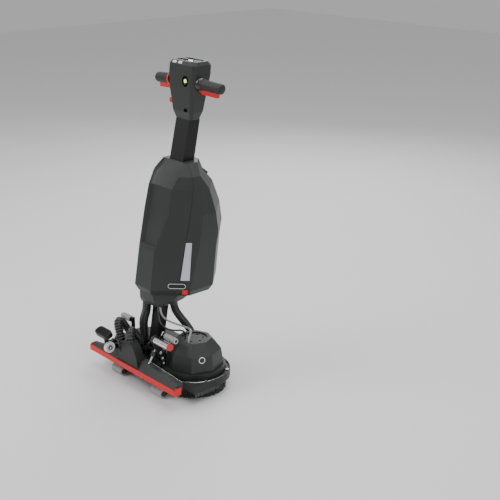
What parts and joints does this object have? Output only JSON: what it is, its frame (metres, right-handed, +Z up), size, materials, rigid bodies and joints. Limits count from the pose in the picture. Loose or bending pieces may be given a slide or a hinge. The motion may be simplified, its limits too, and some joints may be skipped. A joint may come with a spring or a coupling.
{
  "type": "upright scrubber-dryer floor machine",
  "caption": "Compact walk-behind floor scrubber-dryer: round-brush floor head with squeegee, tilting tank upright and gripped control head.",
  "frame": {"origin": "on the floor, under the middle of the machine's bounding box", "axes": "+X to the machine's right, +Y towards its front, +Z up; the parked upright leans towards +Y"},
  "size_m": [0.504, 0.4228, 1.0905],
  "materials": {
    "shell_charcoal": "satin",
    "black_plastic": "matt",
    "red_plastic": "semi gloss",
    "white_plastic": "semi gloss",
    "grey_plastic": "satin",
    "lamp_green": "gloss",
    "clear_window": "translucent",
    "hose_rubber": "ribbed, satin",
    "blade_red": "satin",
    "roller_grey": "ribbed",
    "bristle": "bristle",
    "steel": "bright",
    "alloy": "polished",
    "painted_steel": "satin black"
  },
  "bodies": {
    "floor_head": {"deck_tray": "shell_charcoal", "gear_spindles": "steel", "gear_case": "shell_charcoal", "deck_screws": "steel", "side_brush_strips": "black_plastic", "right_motor_cover": "shell_charcoal", "brush_motor": "steel", "neck_yoke": "painted_steel", "tilt_pin": "steel", "peg_brackets": "painted_steel", "docking_pegs": "alloy", "peg_caps": "red_plastic", "hose_coupling": "black_plastic", "roller_frames": "painted_steel", "rear_brackets": "painted_steel", "hose_sockets": "black_plastic", "side_hose_left": "hose_rubber", "side_hose_right": "hose_rubber", "main_hose": "hose_rubber", "front_hose": "hose_rubber", "service_lines": "hose_rubber"},
    "squeegee": {"squeegee_body": "shell_charcoal", "suction_hood": "shell_charcoal", "squeegee_blades": "blade_red", "lift_rods": "steel"},
    "pedal": {"pedal_arm": "painted_steel", "foot_pedal": "black_plastic"},
    "buffer_roller": {"pedal_roller": "white_plastic"},
    "brush_right": {"brush_disc_right": "black_plastic", "brush_bristles_right": "bristle", "brush_gear_right": "steel"},
    "brush_left": {"brush_disc_left": "black_plastic", "brush_bristles_left": "bristle", "brush_gear_left": "steel"},
    "idler_right": {"idler_gear_right": "grey_plastic"},
    "idler_left": {"idler_gear_left": "grey_plastic"},
    "rear_roller_right": {"roller_right": "roller_grey"},
    "rear_roller_left": {"roller_left": "roller_grey"},
    "upright": {"neck_column": "black_plastic", "chin_cover": "shell_charcoal", "vacuum_motor": "black_plastic", "rear_shell": "shell_charcoal", "blank_badge": "black_plastic", "battery_pack": "black_plastic", "handle_stem": "black_plastic", "head_rear_shell": "shell_charcoal", "head_front_shell": "shell_charcoal", "control_panel": "black_plastic", "status_lamp": "lamp_green", "grips": "black_plastic", "grip_collars": "black_plastic"},
    "tank": {"front_tank": "shell_charcoal", "level_window": "clear_window"},
    "latch": {"tank_latch_button": "red_plastic"},
    "cap": {"filler_cap": "shell_charcoal"},
    "right_trigger": {"trigger_right": "red_plastic"},
    "left_trigger": {"trigger_left": "red_plastic"},
    "lever": {"release_lever": "red_plastic"},
    "power_key": {"power_button": "white_plastic"},
    "mode_key": {"mode_button": "white_plastic"}
  },
  "joints": [
    {"name": "squeegee_lift", "type": "slide", "parent": "floor_head", "child": "squeegee", "axis": [0, -0.5505, -0.8348], "range_m": [0, 0.068], "deforming": ["side_hose_left", "side_hose_right"]},
    {"name": "pedal_swing", "type": "hinge", "parent": "floor_head", "child": "pedal", "pos_m": [-0.102, -0.10861, 0.104], "axis": [1, 0, 0], "range_deg": [0, 28.1]},
    {"name": "buffer_roller_spin", "type": "hinge", "parent": "pedal", "child": "buffer_roller", "pos_m": [-0.089, -0.18761, 0.126], "axis": [1, 0, 0], "continuous": true},
    {"name": "brush_right_spin", "type": "hinge", "parent": "floor_head", "child": "brush_right", "pos_m": [0.13, 0.01139, 0.02], "axis": [0, 0, 1], "continuous": true},
    {"name": "brush_left_spin", "type": "hinge", "parent": "floor_head", "child": "brush_left", "pos_m": [-0.13, 0.01139, 0.02], "axis": [0, 0, 1], "continuous": true},
    {"name": "idler_right_spin", "type": "hinge", "parent": "floor_head", "child": "idler_right", "pos_m": [0.04, 0.01139, 0.066], "axis": [0, 0, 1], "continuous": true},
    {"name": "idler_left_spin", "type": "hinge", "parent": "floor_head", "child": "idler_left", "pos_m": [-0.04, 0.01139, 0.066], "axis": [0, 0, 1], "continuous": true},
    {"name": "roller_right_spin", "type": "hinge", "parent": "floor_head", "child": "rear_roller_right", "pos_m": [0.114, -0.13261, 0.016], "axis": [1, 0, 0], "continuous": true},
    {"name": "roller_left_spin", "type": "hinge", "parent": "floor_head", "child": "rear_roller_left", "pos_m": [-0.114, -0.13261, 0.016], "axis": [1, 0, 0], "continuous": true},
    {"name": "upright_tilt", "type": "hinge", "parent": "floor_head", "child": "upright", "pos_m": [0, -0.05761, 0.105], "axis": [1, 0, 0], "range_deg": [0, 45], "deforming": ["main_hose", "front_hose", "service_lines"]},
    {"name": "tank_slide", "type": "slide", "parent": "upright", "child": "tank", "axis": [0, 1, 0], "range_m": [0, 0.16]},
    {"name": "latch_press", "type": "slide", "parent": "tank", "child": "latch", "axis": [-0.7071, 0.7071, 0], "range_m": [0, 0.004], "stiffness_N_per_m": 900},
    {"name": "cap_turn", "type": "hinge", "parent": "tank", "child": "cap", "pos_m": [-0.02, 0.15639, 0.69], "axis": [0, 0.6222, 0.7828], "range_deg": [0, 90]},
    {"name": "trigger_right_pull", "type": "hinge", "parent": "upright", "child": "right_trigger", "pos_m": [0.07387, 0.10272, 1.00175], "axis": [0.1392, -0.9903, 0], "range_deg": [0, 4], "stiffness_Nm_per_rad": 3, "springref_deg": -2.86},
    {"name": "trigger_left_pull", "type": "hinge", "parent": "upright", "child": "left_trigger", "pos_m": [-0.07387, 0.10272, 1.00175], "axis": [0.1392, 0.9903, 0], "range_deg": [0, 4], "stiffness_Nm_per_rad": 3, "springref_deg": -2.86},
    {"name": "lever_flick", "type": "hinge", "parent": "upright", "child": "lever", "pos_m": [-0.0505, 0.08839, 0.954], "axis": [0, 1, 0], "range_deg": [0, 8], "stiffness_Nm_per_rad": 0.5},
    {"name": "power_press", "type": "slide", "parent": "upright", "child": "power_key", "axis": [0, 0, -1], "range_m": [0, 0.002], "stiffness_N_per_m": 900},
    {"name": "mode_press", "type": "slide", "parent": "upright", "child": "mode_key", "axis": [0, 0, -1], "range_m": [0, 0.002], "stiffness_N_per_m": 900}
  ],
  "couplings": [
    {"joint": "brush_left_spin", "follows": "brush_right_spin", "ratio": -1},
    {"joint": "idler_right_spin", "follows": "brush_right_spin", "ratio": -1.25},
    {"joint": "idler_left_spin", "follows": "brush_right_spin", "ratio": 1.25},
    {"joint": "pedal_swing", "follows": "squeegee_lift", "rad_per_m": 7.1866}
  ]
}
